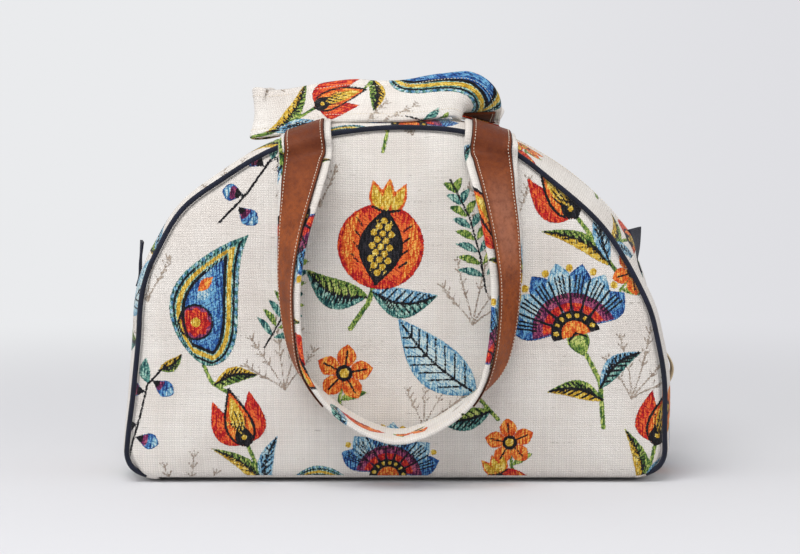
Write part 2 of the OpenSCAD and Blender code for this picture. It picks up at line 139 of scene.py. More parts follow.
floor_radius = 8.0
floor_z = -0.0008
floor_clear = 0.42
floor_faded = 1.3
camera_far = view_distance + 0.09
bm = bmesh.new()
bmesh.ops.create_circle(bm, cap_ends=True, segments=96, radius=floor_radius)
floor_mesh = mesh_from(bm, "floor")
floor = bpy.data.objects.new("floor", floor_mesh)
floor.location.z = floor_z
scene.collection.objects.link(floor)
floor_paint = bpy.data.materials.new("floor_paint")
floor_paint.use_nodes = True
tree = floor_paint.node_tree
tree.nodes.clear()
place = object_spot(tree)
distance = add(tree, "VectorMath", place, operation="LENGTH").outputs["Value"]
far_off = times(tree, ramp(tree, distance, floor_clear, floor_faded), seen_ray(tree))
matt = add(tree, "BsdfDiffuse", srgb(214, 215, 219))
even = add(tree, "Emission", surround_tone(tree, place, camera_far), 1.0)
add(tree, "OutputMaterial", add(tree, "MixShader", far_off, matt, even))
floor_mesh.materials.append(floor_paint)


def add_lamp(name, spot, target, width, power, colour):
    lamp_data = bpy.data.lights.new(name, "AREA")
    lamp_data.shape = "DISK"
    lamp_data.size = width
    lamp_data.energy = power
    lamp_data.color = colour
    lamp = bpy.data.objects.new(name, lamp_data)
    lamp.location = spot
    lamp.rotation_euler = (Vector(target) - Vector(spot)).to_track_quat("-Z", "Y").to_euler()
    scene.collection.objects.link(lamp)


add_lamp("top_lamp", (-0.5, -1.5, 2.4), (0, 0, 0.12), 1.8, 46, (1.0, 0.985, 0.97))
add_lamp("left_lamp", (-2.2, -1.2, 0.9), (0, 0, 0.15), 1.4, 12, (0.96, 0.98, 1.0))
add_lamp("right_lamp", (2.0, -0.9, 0.9), (0, 0, 0.15), 1.2, 5, (0.97, 0.98, 1.0))

# Front and back panels
# Two D-shaped panels of jacquard tapestry, backed with wadding and a plain lining. They are cut
# from one cloth with a repeat of flowers, fruit and leaves, and the stuffed bag makes them swell.
arch_r = 0.234
arch_z = 0.057
arch_angle = 57
shoulder_r = 0.100
side_angle = 87
corner_r = 0.022
mitre_angle = 135
seam_lift = 0.005
seam_y = 0.090
panel_swell = 0.014
panel_mid_z = 0.130
wall = 0.003
rim_turn_z = (0.006, 0.016)
wave_depth = 0.0007
pucker_depth = 0.0006
fold_depth = 0.0011


def polar(angle, radius):
    return radius * math.sin(math.radians(angle)), radius * math.cos(math.radians(angle))


shoulder_x, shoulder_rise = polar(arch_angle, arch_r - shoulder_r)
shoulder_z = arch_z + shoulder_rise
corner_z = seam_lift + corner_r
side_out, side_rise = polar(side_angle, 1)
corner_x = shoulder_x + (shoulder_r - corner_r + side_rise * (shoulder_z - corner_z)) / side_out


def columns(*parts):
    return np.stack(parts, axis=1)


def arc(centre_x, centre_z, radius, start, end, count):
    """Points of an arc in the XZ plane, by the angle of its outward direction from upright."""
    t = np.radians(np.linspace(start, end, count))
    return columns(centre_x + radius * np.sin(t), centre_z + radius * np.cos(t))


def lower_line(out, end=180):
    """The seam's right side, this far out: the shoulder, the side and the corner to an angle."""
    return np.concatenate([
        arc(shoulder_x, shoulder_z, shoulder_r + out, arch_angle, side_angle, 40),
        arc(corner_x, corner_z, corner_r + out, side_angle, end, 40),
    ])


def arch_line(start, count, out=0.0):
    return arc(0, arch_z, arch_r + out, start, arch_angle, count)


def steps_of(line):
    return np.linalg.norm(np.diff(line, axis=0), axis=1)


def along(line, share, axes=None):
    """The points at these shares of a line's length, which is measured by its first axes."""
    run = np.concatenate([[0], np.cumsum(steps_of(line[:, :axes]))])
    return columns(*(np.interp(share * run[-1], run, row) for row in line.T))


def line_length(line):
    return float(steps_of(line).sum())


def smooth(value, low, high):
    f = np.clip((value - low) / (high - low), 0, 1)
    return f * f * (3 - 2 * f)


def eased(value, knots, levels):
    """A smooth curve through the levels at these knots."""
    slope = np.gradient(levels, knots)
    k = np.clip(np.searchsorted(knots, value) - 1, 0, len(knots) - 2)
    step = knots[k + 1] - knots[k]
    f = np.clip((value - knots[k]) / step, 0, 1)
    return (
        levels[k] + (levels[k + 1] - levels[k]) * smooth(f, 0, 1)
        + step * f * (1 - f) * ((1 - f) * slope[k] - f * slope[k + 1])
    )


settle_z = 0.10
settle_r = 0.21
settle_angle = np.array([
    -180, -125, -109, -96, -79, -66, -54, -44, -30, -12,
    4, 18, 28, 40, 56, 72, 83, 93, 106, 125, 180.0,
])
settle_push = 0.001 * np.array([
    0, 0, 4, 1, -1, 3, 9, 6, 5.5, 0.5, 0.6, 3, 0, -6.5, -7.8, -9.3, -2.3, 2.6, 1, 0, 0,
])


def settle(points):
    """The front is fuller at its left shoulder and sunk at its right, there through to the back."""
    x, y, z = points.T
    turn = np.degrees(np.arctan2(x, z - settle_z))
    reach = np.clip(np.hypot(x, z - settle_z) / settle_r, 0, 1.15) ** 2
    deep = smooth(turn, 62, 72)
    weight = smooth(-y, 0.02, 0.088) * (1 - deep) + smooth(-y, -0.085, -0.005) * deep
    push = eased(turn, settle_angle, settle_push) * reach * weight
    return columns(x + push * np.sin(np.radians(turn)), y, z + push * np.cos(np.radians(turn)))


def read_points(data, field, size):
    values = np.zeros(len(data) * size, np.float32)
    data.foreach_get(field, values)
    return values.reshape(-1, size).astype(float)


def write_points(data, field, values):
    data.foreach_set(field, values.astype(np.float32).ravel())


def keep(mesh, name, values):
    """Keeps one value or two for each point of a mesh."""
    kind, field = ("FLOAT", "value") if values.ndim == 1 else ("FLOAT2", "vector")
    write_points(mesh.attributes.new(name, kind, "POINT").data, field, values)


def make_sheet(name, cells, place, cloth):
    """A grid moved to place(u, v), with u and v from 0 to 1, that keeps its spot on the cloth."""
    bm = bmesh.new()
    bmesh.ops.create_grid(bm, x_segments=cells[0], y_segments=cells[1], size=0.5)
    mesh = mesh_from(bm, name)
    u, v, _ = read_points(mesh.vertices, "co", 3).T + 0.5
    write_points(mesh.vertices, "co", place(u, v))
    spot = cloth(u, v)
    keep(mesh, "cloth", spot)
    corner = np.zeros(len(mesh.loops), np.int32)
    mesh.loops.foreach_get("vertex_index", corner)
    write_points(mesh.uv_layers.new(name="weave").data, "uv", spot[corner])
    mesh.polygons.foreach_set("use_smooth", np.ones(len(mesh.polygons), bool))
    mesh.update()
    return mesh


def panel_rim(a, b):
    """The seam's point straight out from a spot of the square from -1 to 1, and its reach."""
    scale = np.maximum(np.maximum(abs(a), abs(b)), 1e-9)
    p, q = (a / scale + 1) / 2, (b / scale + 1) / 2
    right = np.concatenate([
        arc(corner_x, corner_z, corner_r, mitre_angle, side_angle, 40),
        arc(shoulder_x, shoulder_z, shoulder_r, side_angle, arch_angle, 40),
    ])
    corner = arc(corner_x, corner_z, corner_r, mitre_angle, 180, 20)
    base = np.concatenate([corner * (-1, 1), corner[::-1]])
    arch = arch_line(-arch_angle, 160)
    sides = [along(arch, p), along(base, p), along(right, q), along(right * (-1, 1), q)]
    where = [q >= 1 - 1e-6, q <= 1e-6, p >= 1 - 1e-6, p <= 1e-6]
    return np.select([w[:, None] for w in where], sides), scale


def panel_place(u, v):
    rim, s = panel_rim(2 * u - 1, 2 * v - 1)
    s = np.clip(s, 0, 1)
    x = rim[:, 0] * s
    z = panel_mid_z + (rim[:, 1] - panel_mid_z) * s
    swell = panel_swell * (1 - s**2.6) ** 0.6
    # Broad waves, puckers along the seam and folds that hang from the arch
    wave = np.sin(31 * x + 2.1) * np.sin(27 * z + 0.4) + 0.6 * np.sin(52 * x - 38 * z + 1.0)
    pucker = np.sin(520 * x + 380 * z) * np.exp(-((1 - s) / 0.035)) * (1 - s**40)
    hang_fold = (1 + np.sin(78 * x + 14 * z + 2.3)) * smooth(z, 0.14, 0.25) * (1 - s**6)
    turned_in = wall * smooth(s, 0.986, 1) * smooth(rim[:, 1], *rim_turn_z)
    y = turned_in - seam_y - swell + wave_depth * wave * (1 - s**4)
    y += pucker_depth * pucker + fold_depth * hang_fold
    return columns(x, y, z)


def lining_place(u, v):
    """The lining, a wall's thickness inside the cloth and sewn to it along the rim."""
    points = panel_place(u, v)
    points[:, 1] += wall * (1 - np.maximum(abs(2 * u - 1), abs(2 * v - 1)) ** 24)
    return points


def panel_cloth(cut_x, cut_z):
    """The spot on the cloth of each point of a panel that is cut from this place."""
    def spot(u, v):
        rim, s = panel_rim(2 * u - 1, 2 * v - 1)
        return columns(rim[:, 0] * s + cut_x, panel_mid_z + (rim[:, 1] - panel_mid_z) * s + cut_z)
    return spot


def blade(p, base, tip, width, bend=0.0, belly=1.0):
    """How far inside a leaf or petal each point lies. A belly below 1 is fuller near the base."""
    base, tip = np.array(base, float), np.array(tip, float)
    axis = tip - base
    length = np.hypot(*axis)
    t = (p - base) @ axis / length**2
    side = (p - base) @ np.array([-axis[1], axis[0]]) / length
    clipped = np.clip(t, 0, 1)
    inside = width * np.sin(np.pi * clipped**belly) - abs(side - bend * np.sin(np.pi * clipped))
    return np.minimum(inside, np.minimum(t, 1 - t) * length)


def disc(p, centre, radius):
    return radius - np.hypot(p[:, 0] - centre[0], p[:, 1] - centre[1])


def stroke(p, points, width):
    """A drawn line through the points."""
    nearest = np.full(len(p), 1e9)
    for start, end in zip(np.array(points, float), np.array(points[1:], float)):
        axis = end - start
        t = np.clip((p - start) @ axis / (axis @ axis), 0, 1)
        nearest = np.minimum(nearest, np.hypot(*(p - start - t[:, None] * axis).T))
    return width / 2 - nearest


def veined_leaf(p, lay, base, tip, width, bend, near="leaf", far="teal"):
    """A leaf in two greens with a dark midrib and side veins."""
    base, tip = np.array(base, float), np.array(tip, float)
    axis = tip - base
    across = np.array([-axis[1], axis[0]]) / np.hypot(*axis)
    whole = blade(p, base, tip, width, bend, 0.8)
    share = np.clip((p - base) @ axis / (axis @ axis), 0, 1)
    side = (p - base) @ across - bend * np.sin(np.pi * share)
    lay(near, whole)
    lay(far, whole, side)

    def on_midrib(f):
        return base + axis * f + across * bend * math.sin(math.pi * f)

    lay("dark", stroke(p, [on_midrib(f) for f in np.linspace(0, 0.94, 9)], 1.7), whole + 1)
    for f in np.arange(0.12, 0.8, 0.11):
        for way in (-1, 1):
            end = on_midrib(f) + axis * 0.17 + across * way * width * 0.8
            lay("dark", stroke(p, [on_midrib(f), end], 1.3), whole - 0.6)


def tulip(p, lay):
    lay("leaf", stroke(p, [(3, -62), (1, -30), (0, 2)], 3.4))
    veined_leaf(p, lay, (2, -52), (-32, 6), 7, -7, "leaf", "yellow")
    veined_leaf(p, lay, (2, -48), (29, -2), 7, 6, "sky", "teal")
    for x in (-1, 1):
        outer = blade(p, (x * 2, 0), (x * 17, 46), 12, -x * 5, 0.6)
        lay("red", outer)
        lay("plum", outer - 1, blade(p, (x * 8, 2), (x * 18, 34), 4, -x * 4))
    middle = blade(p, (0, -3), (0, 52), 12, 0, 0.65)
    lay("dark", middle + 1.2, 1.2 - middle)
    lay("orange", middle)
    lay("yellow", middle - 3, blade(p, (0, 8), (0, 46), 6, 0, 0.8))
    lay("night", middle - 0.5, blade(p, (0, -4), (0, 20), 8, 0, 0.7))
    for x in (-7.5, -4, 0, 4, 7.5):
        lay("dark", stroke(p, [(x * 0.5, 8), (x, 32 - abs(x))], 1.4), middle)
    lay("yellow", disc(p, (0, 6), 2.4))


def fan_flower(p, lay):
    lay("leaf", stroke(p, [(0, -6), (5, -34), (1, -64)], 3))
    veined_leaf(p, lay, (4, -38), (38, -22), 6, 5, "teal", "sky")
    veined_leaf(p, lay, (4, -46), (-30, -32), 6, -5, "leaf", "yellow")
    for k, angle in enumerate((-66, -44, -22, 0, 22, 44, 66)):
        petal = blade(p, polar(angle, 3), polar(angle, 50 - abs(angle) * 0.05), 9.8, 0, 1.7)
        lay(("blue", "sky")[k % 2], petal)
        lay("plum", petal - 1, disc(p, (0, 0), 29))
        lay("red", petal - 2.2, disc(p, (0, 0), 22))
        for way in (-5, 0, 5):
            vein = [polar(angle + way, 26), polar(angle + way * 0.8, 41)]
            lay("dark", stroke(p, vein, 1.3), petal - 1)
    for angle in (-55, -33, -11, 11, 33, 55):
        lay("dark", stroke(p, [polar(angle, 10), polar(angle, 40)], 1.6))
        lay("yellow", disc(p, polar(angle, 45.5), 2.6))
    lay("night", disc(p, (0, 0), 16.5), -disc(p, (0, 0), 9.5), p[:, 1] + 1)
    for angle in range(-75, 76, 25):
        lay("yellow", disc(p, polar(angle, 13.2), 1.7))
    lay("orange", disc(p, (0, 0), 10), p[:, 1] + 1)
    lay("leaf", blade(p, (0, -15), (0, 9), 7.5, 0, 0.9))
    lay("dark", stroke(p, [(-6, -3), (0, 1), (6, -3)], 1.5))


def pomegranate(p, lay):
    lay("leaf", stroke(p, [(0, -22), (-3, -38), (-12, -56)], 3.2))
    veined_leaf(p, lay, (-4, -34), (-46, -22), 10, 7)
    veined_leaf(p, lay, (-2, -30), (42, -26), 10, -7, "teal", "sky")
    for x in (-11, 0, 11):
        crown = blade(p, (x * 0.35, 22), (x, 45 - abs(x) * 0.2), 5, 0, 0.8)
        lay("orange", crown)
        lay("yellow", crown - 1.6, 40 - p[:, 1])
    fruit = disc(p, (0, 0), 28)
    lay("red", fruit)
    for x in (-1, 1):
        lay("orange", blade(p, (x * 16, -22), (x * 16, 24), 4.5, -x * 5), fruit - 1)
        lay("plum", stroke(p, [(x * 21, -16), (x * 24.5, 0), (x * 21, 16)], 3), fruit)
        for z in (-12, -4, 4, 12):
            lay("dark", stroke(p, [(x * 13.5, z), (x * 18, z + 4)], 1.4), fruit - 1)
    heart = blade(p, (0, -24), (0, 24), 13)
    lay("night", heart + 1.6)
    for row in range(-4, 5):
        for x in (-5.8, 0, 5.8) if row % 2 == 0 else (-2.9, 2.9):
            lay("yellow", disc(p, (x, row * 4.3), 2.1), heart - 1)
    lay("dark", stroke(p, [(-9, 25), (0, 22.5), (9, 25)], 1.8))


def paisley(p, lay):
    drop = blade(p, (-4, -44), (22, 50), 26, 15, 0.62)
    lay("teal", drop)
    for depth, width, ink in ((3.4, 1.7, "dark"), (7, 3.2, "yellow"), (10.5, 2.4, "dark")):
        lay(ink, width / 2 - abs(drop - depth))
    lay("blue", drop - 11)
    across = np.array([-0.96, 0.27])
    for f in 0.06 + 0.055 * np.arange(16):
        middle = np.array([-4 + 26 * f, -44 + 94 * f]) + across * 15 * math.sin(math.pi * f)
        reach = 26 * math.sin(math.pi * f**0.62) - 1.6
        for way in (-1, 1):
            lay("sky", disc(p, middle + across * reach * way, 1.7), drop - 0.3)
    bud = (-13, -14)
    lay("dark", disc(p, bud, 13), -disc(p, bud, 11.4))
    lay("plum", disc(p, bud, 12))
    for angle in range(0, 360, 45):
        tip = polar(angle, 11)
        lay("red", blade(p, bud, (bud[0] + tip[0], bud[1] + tip[1]), 3.4, 0, 1.4))
    lay("yellow", disc(p, bud, 3.4))
    for height, ink in ((6, "sky"), (13, "orange"), (20, "sky"), (27, "yellow")):
        lay(ink, blade(p, (-15 + height * 0.2, height - 5), (-2, height + 6), 3.4), drop - 11.8)
    lay("leaf", stroke(p, [(-4, -44), (4, -56), (18, -62)], 2.6))
    veined_leaf(p, lay, (6, -57), (36, -47), 6, 4, "leaf", "yellow")


def big_leaf(p, lay):
    lay("leaf", stroke(p, [(-4, -58), (0, -30)], 2.8))
    veined_leaf(p, lay, (0, -34), (6, 44), 17, 5, "sky", "teal")
    veined_leaf(p, lay, (-3, -50), (-34, -22), 8, 4, "leaf", "teal")


def fern_sprig(p, lay):
    spine = [(0, -46), (3, -18), (2, 12), (-5, 44)]
    lay("dark", stroke(p, spine, 1.7))
    for k in range(8):
        height = -34 + 9.5 * k
        x = 3 - 8 * max(0, k - 3) / 5
        reach = 21 - 1.9 * k
        for way in (-1, 1):
            tip = (x + way * reach, height + 11)
            lay(("teal", "leaf")[k % 2], blade(p, (x, height), tip, 3, way * 1.5))


def star_blossom(p, lay):
    lay("leaf", stroke(p, [(0, -4), (-4, -20), (2, -34)], 2.2))
    lay("leaf", blade(p, (-3, -20), (16, -14), 4, 2))
    for k in range(5):
        angle = 72 * k + 8
        petal = blade(p, (0, 0), polar(angle, 21), 7, 0, 1.3)
        lay("orange", petal)
        lay("red", petal - 1, disc(p, (0, 0), 13))
        lay("dark", stroke(p, [polar(angle, 5), polar(angle, 16)], 1.5), petal)
    lay("night", disc(p, (0, 0), 6))
    lay("yellow", disc(p, (0, 0), 3.4))


def bell_spray(p, lay):
    lay("dark", stroke(p, [(-20, -38), (-6, -6), (4, 22), (22, 36)], 1.9))
    for spot, tip in (
        ((-8, -10), (-26, -12)), ((2, 16), (-16, 22)), ((8, 26), (26, 10)), ((-12, -20), (8, -30)),
    ):
        bell = blade(p, spot, tip, 7, 0, 1.5)
        lay("blue", bell)
        lay("dark", bell, disc(p, spot, 8))
        lay("plum", bell - 0.8, disc(p, spot, 12))
        lay("sky", bell - 1.2, disc(p, tip, 7))
    veined_leaf(p, lay, (16, 33), (38, 44), 5.5, -3, "leaf", "yellow")
    lay("teal", blade(p, (6, 22), (6, 46), 5, 3))


def faint_grass(p, lay):
    """A tuft drawn in single faint lines."""
    for angle, length, bend in (
        (-38, 44, -9), (-20, 60, -6), (-4, 70, 4), (13, 58, 8), (30, 46, 10),
    ):
        tip = np.array(polar(angle, length))
        side = np.array(polar(angle + 90, bend))

        def on_stem(f):
            return tip * f + side * math.sin(math.pi * f * 0.5) ** 2

        lay("faint", stroke(p, [on_stem(f) for f in np.linspace(0, 1, 6)], 1.3))
        for f in (0.45, 0.6, 0.75, 0.9):
            for way in (-34, 34):
                twig = [on_stem(f), on_stem(f) + polar(angle + way, 7)]
                lay("faint", stroke(p, twig, 1.2))


repeat = np.array([0.460, 0.330])
motif_reach = 76
motif_places = {
    faint_grass: (
        (62, 132, 12, 0.95), (-62, 226, -24, 0.8), (-92, 78, -8, 0.9), (190, 70, 20, 0.9),
        (-206, 150, -12, 0.9), (100, 214, -30, 0.9), (20, 46, 30, 0.8), (-176, 296, 10, 0.9),
        (12, 286, -16, 0.8),
    ),
    pomegranate: ((-14, 196, 8, 1.25), (90, 318, -20, 0.85)),
    fan_flower: ((148, 124, -14, 1.25), (-8, 4, 5, 0.95)),
    paisley: ((-150, 148, 6, 1.15), (-62, 318, 78, 0.8)),
    tulip: ((150, 226, -36, 1.05), (-124, 34, -18, 0.9), (212, 34, 14, 0.9)),
    big_leaf: ((34, 100, -50, 1.15), (-206, 226, 38, 0.95)),
    star_blossom: ((-44, 92, 0, 1.15), (92, 34, -15, 1.0), (204, 178, 30, 1.0)),
    fern_sprig: ((60, 206, -16, 1.05), (-92, 150, 26, 0.9)),
    bell_spray: ((-112, 242, 16, 1.0), (-206, 60, -10, 0.95)),
}
# Each ink's deep, main and bright shades. A later ink covers an earlier one
thread_tones = {
    "faint": ((148, 132, 118), (174, 160, 146), (194, 182, 168)),
    "leaf": ((46, 84, 42), (126, 156, 68), (202, 210, 122)),
    "teal": ((16, 60, 68), (84, 144, 134), (178, 212, 198)),
    "blue": ((20, 42, 98), (46, 98, 166), (116, 176, 212)),
    "sky": ((64, 120, 162), (140, 188, 210), (204, 222, 222)),
    "plum": ((60, 18, 52), (122, 44, 92), (186, 98, 122)),
    "red": ((146, 16, 26), (202, 36, 36), (236, 112, 52)),
    "orange": ((194, 64, 24), (230, 110, 44), (246, 184, 86)),
    "night": ((10, 10, 14), (20, 20, 26), (46, 44, 50)),
    "yellow": ((178, 134, 32), (222, 184, 62), (242, 224, 136)),
    "dark": ((10, 10, 14), (20, 20, 26), (40, 42, 48)),
}


def weave_picture(mesh, figures=motif_places):
    """Keeps each point's depth inside the figures of every ink, in metres, below nought outside."""
    spot = read_points(mesh.attributes["cloth"].data, "vector", 2)
    depth = {ink: np.full(len(spot), -0.01) for ink in thread_tones}
    for motif, places in figures.items():
        for x, z, turn, size in places:
            scale = 0.001 * size
            offset = (spot - np.array([x, z]) * 0.001 + repeat / 2) % repeat - repeat / 2
            near = np.flatnonzero(np.hypot(*offset.T) < motif_reach * scale)
            if not len(near):
                continue

            def lay(ink, *insides):
                """Covers what lies inside all of these shapes with an ink."""
                inside = np.minimum.reduce(insides) * scale
                depth[ink][near] = np.maximum(depth[ink][near], inside)

            s, c = polar(turn, 1)
            motif(offset[near] @ np.array([[c, s], [-s, c]]) / scale, lay)
    for ink in thread_tones:
        keep(mesh, "ink_" + ink, depth[ink])


def shade(material, colour, roughness, height, depth, sheen=0.0, specular=0.5, metallic=0.0):
    """Gives a material its colour, its finish and a bump of a depth in metres."""
    tree = material.node_tree
    shader = tree.nodes["Principled BSDF"]
    bump = tree.nodes.new("ShaderNodeBump")
    bump.inputs["Distance"].default_value = depth
    tree.links.new(height.outputs[0], bump.inputs["Height"])
    for name, value in (
        ("Base Color", colour), ("Roughness", roughness), ("Normal", bump),
        ("Sheen Weight", sheen), ("Specular IOR Level", specular), ("Metallic", metallic),
    ):
        if isinstance(value, bpy.types.Node):
            tree.links.new(value.outputs[0], shader.inputs[name])
        else:
            shader.inputs[name].default_value = value
    return material


def new_material(name):
    material = bpy.data.materials.new(name)
    material.use_nodes = True
    return material


def scaled(tree, value, gain, plus):
    return math_node(tree, "MULTIPLY_ADD", value, gain, plus)


def noise(tree, spot, scale, detail, roughness=None):
    return add(tree, "TexNoise", spot, None, scale, detail, roughness)


def stretched(tree, spot, scales):
    return add(tree, "VectorMath", spot, scales, operation="MULTIPLY")


def weave_spot(tree, pitch):
    """The place on the cloth counted in threads of this pitch, as X and Y."""
    return stretched(tree, add(tree, "UVMap", uv_map="weave"), (1 / pitch, 1 / pitch, 0))


def rib(tree, value, period):
    """A rounded ridge that repeats, from nought between two ridges to one on top."""
    swing = math_node(tree, "SINE", times(tree, value, math.tau / period))
    return scaled(tree, swing, 0.5, 0.5)


def make_tapestry():
    material = new_material("tapestry")
    tree = material.node_tree
    thread = weave_spot(tree, 0.0010)
    axes = add(tree, "SeparateXYZ", thread)
    drift = noise(tree, thread, 0.11, 2)
    ribs, thread_tints = [], []
    for axis, wobble, period in (("X", 1.6, 2.0), ("Y", 1.3, 1.9)):
        at = scaled(tree, drift, wobble, axes.outputs[axis])
        ribs.append(rib(tree, at, period))
        number = math_node(tree, "FLOOR", math_node(tree, "DIVIDE", at, period))
        thread_tints.append(add(tree, "TexWhiteNoise", None, number, noise_dimensions="1D"))
    grid = times(tree, *ribs)
    thread_tone = scaled(tree, math_node(tree, "ADD", *thread_tints), 0.05, 0.94)
    cell = add(tree, "VectorMath", thread, operation="FLOOR")
    fleck = add(tree, "TexWhiteNoise", cell)
    streak = noise(tree, stretched(tree, thread, (0.9, 0.35, 1)), 1.0, 2)
    cloud = noise(tree, thread, 0.02, 3)
    colour = mix(tree, ramp(tree, cloud, 0.35, 0.65), srgb(226, 219, 212), srgb(233, 228, 222))
    # Stray darker picks of weft, broken off after a few threads
    long_spot = stretched(tree, thread, (0.018, 0.42, 1))
    pick = ramp(tree, noise(tree, long_spot, 1.0, 1), 0.69, 0.73)
    broken = ramp(tree, noise(tree, thread, 0.35, 2), 0.5, 0.56)
    slub = times(tree, times(tree, pick, broken), 0.5)
    colour = mix(tree, slub, colour, srgb(142, 134, 122))
    # Each ink's shades lie in upright threads crossed by slanting ones, brighter towards the middle
    wander = scaled(tree, fleck, 0.0007, -0.00035)
    drawn = ramp(tree, noise(tree, thread, 0.28, 2), 0.44, 0.56)
    lines = []
    for lean in (0.62, -0.5):
        slant = scaled(tree, axes.outputs["X"], lean, axes.outputs["Y"])
        hatch = rib(tree, scaled(tree, streak, 2.6, slant), 3.1)
        lines.append(times(tree, ramp(tree, hatch, 0.62, 0.92, 0.0, 0.8), drawn))
    upright = noise(tree, stretched(tree, thread, (0.75, 0.13, 1)), 1.0, 2)
    mottle = scaled(tree, fleck, 0.6, scaled(tree, upright, 4.2, -2.1))
    raised = None
    for k, (ink, shades) in enumerate(thread_tones.items()):
        inside = add(tree, "Attribute", attribute_name="ink_" + ink).outputs["Fac"]
        cover = ramp(tree, math_node(tree, "ADD", inside, wander), -0.0002, 0.0002)
        shading = scaled(tree, inside, 60.0, mottle)
        deep, main, bright = (srgb(*seen) for seen in shades)
        tone = mix(tree, ramp(tree, shading, 0.0, 0.34), deep, main)
        tone = mix(tree, ramp(tree, shading, 0.5, 0.95), tone, bright)
        tone = mix(tree, lines[k % 2], tone, deep)
        colour = mix(tree, cover, colour, tone)
        raised = cover if raised is None else math_node(tree, "MAXIMUM", raised, cover)
    # Painted shade in the hollows between the threads, times each thread's own slight tint
    hollow_shade_and_tint = times(tree, ramp(tree, grid, 0.0, 0.4, 0.86, 1.0), thread_tone)
    colour = add(tree, "MixRGB", 1.0, colour, hollow_shade_and_tint, blend_type="MULTIPLY")
    lift = scaled(tree, fleck, 0.5, math_node(tree, "ADD", grid, raised))
    return shade(material, colour, 0.92, lift, 0.00035, sheen=0.12, specular=0.2)


def make_lining():
    material = new_material("lining")
    tree = material.node_tree
    axes = add(tree, "SeparateXYZ", weave_spot(tree, 0.0007))
    twill = rib(tree, math_node(tree, "ADD", axes.outputs["X"], axes.outputs["Y"]), 2)
    colour = mix(tree, twill, srgb(150, 140, 124), srgb(178, 168, 150))
    return shade(material, colour, 0.85, twill, 0.0002)


tapestry = make_tapestry()
lining = make_lining()


def sew_in(mesh, material, slot, *replaced):
    """Adds a piece of one material to the bag."""
    mesh.materials.append(material)
    piece = bpy.data.objects.new(mesh.name, mesh)
    scene.collection.objects.link(piece)
    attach(piece, "bag")
    if replaced:
        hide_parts(*replaced)
    return piece


def finish_cloth(mesh, replaced, thickness=0.0, figures=motif_places):
    """Weaves the figures in and sews the cloth into the bag. A thickness lines it behind."""
    weave_picture(mesh, figures)
    piece = sew_in(mesh, tapestry, "tapestry", replaced)
    if thickness:
        mesh.materials.append(lining)
        backing = piece.modifiers.new("wadding and lining", "SOLIDIFY")
        backing.thickness = thickness
        backing.offset = -1
        backing.material_offset = 1
        backing.material_offset_rim = 0
    return piece


lining_cells = (70, 46)
for side, sign, cells, cut in (
    ("front", 1, (340, 226), (0.0, 0.0)), ("back", -1, (280, 186), (0.19, 0.13)),
):

    def front_or_back(points):
        return settle(points) if sign > 0 else points * (-1, -1, 1)

    outer = make_sheet(
        side + "_panel_cloth", cells, lambda u, v: front_or_back(panel_place(u, v)),
        panel_cloth(*cut),
    )
    inner = make_sheet(
        side + "_panel_lining", lining_cells, lambda u, v: front_or_back(lining_place(1 - u, v)),
        panel_cloth(*cut),
    )
    for piece in (finish_cloth(outer, side + "_panel"), sew_in(inner, lining, "tapestry")):
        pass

# Piping
# Cotton cord wrapped in navy twill, sewn into both panel seams. Each length starts at one bottom
# corner, runs up over the arch and ends at the other corner, where it is turned into the seam.
piping_r = 0.0025
cord_sunk = 0.0003
piping_clear = 0.00005
piping_out = piping_r / math.sqrt(2) + piping_clear
piping_end = 158
piping_points = 400
tuck_depth = 0.0045
tuck_share = 0.022


def make_path(points, hints):
    """A line of points with the directions across the piece, by the hints, and out of its face."""
    heading = np.gradient(points, axis=0)
    heading /= np.linalg.norm(heading, axis=1)[:, None]
    across = hints - np.sum(hints * heading, axis=1)[:, None] * heading
    across /= np.linalg.norm(across, axis=1)[:, None]
    return np.concatenate([points, across, np.cross(heading, across)], axis=1)


def round_section(radius):
    turn = np.linspace(0, math.tau, 33)
    return radius * columns(np.cos(turn), np.sin(turn))


def close_tube(mesh):
    """Joins the grid's two long edges, caps its ends and faces it outwards."""
    bm = bmesh.new()
    bm.from_mesh(mesh)
    bmesh.ops.remove_doubles(bm, verts=bm.verts, dist=1e-6)
    caps = bmesh.ops.holes_fill(bm, edges=[e for e in bm.edges if e.is_boundary], sides=0)["faces"]
    for face in caps:
        face.smooth = False
    bmesh.ops.recalc_face_normals(bm, faces=bm.faces)
    bm.to_mesh(mesh)
    bm.free()


def make_strip(name, path, section, cells, cut=(0.0, 0.0)):
    """A closed section swept along a path. Its cloth runs round the section and along the path."""
    girth = line_length(section)
    length = line_length(path[:, :3])

    def place(u, v):
        at = along(path, v, 3)
        q = along(section, u)
        return at[:, :3] + q[:, :1] * at[:, 3:6] + q[:, 1:] * at[:, 6:]

    mesh = make_sheet(name, cells, place, lambda u, v: columns(u * girth, v * length) + cut)
    close_tube(mesh)
    return mesh


def make_twill(name, dark, light, pitch):
    material = new_material(name)
    tree = material.node_tree
    thread = weave_spot(tree, pitch)
    axes = add(tree, "SeparateXYZ", thread)
    slant = rib(tree, math_node(tree, "ADD", axes.outputs["X"], axes.outputs["Y"]), 2)
    worn = noise(tree, thread, 0.06, 4)
    fibre = noise(tree, thread, 1.3, 2)
    tone = scaled(tree, slant, 0.35, ramp(tree, worn, 0.35, 0.7, 0.0, 0.45))
    colour = mix(tree, tone, dark, light)
    height = scaled(tree, fibre, 0.5, slant)
    return shade(material, colour, 0.8, height, 0.00025, sheen=0.1, specular=0.3)


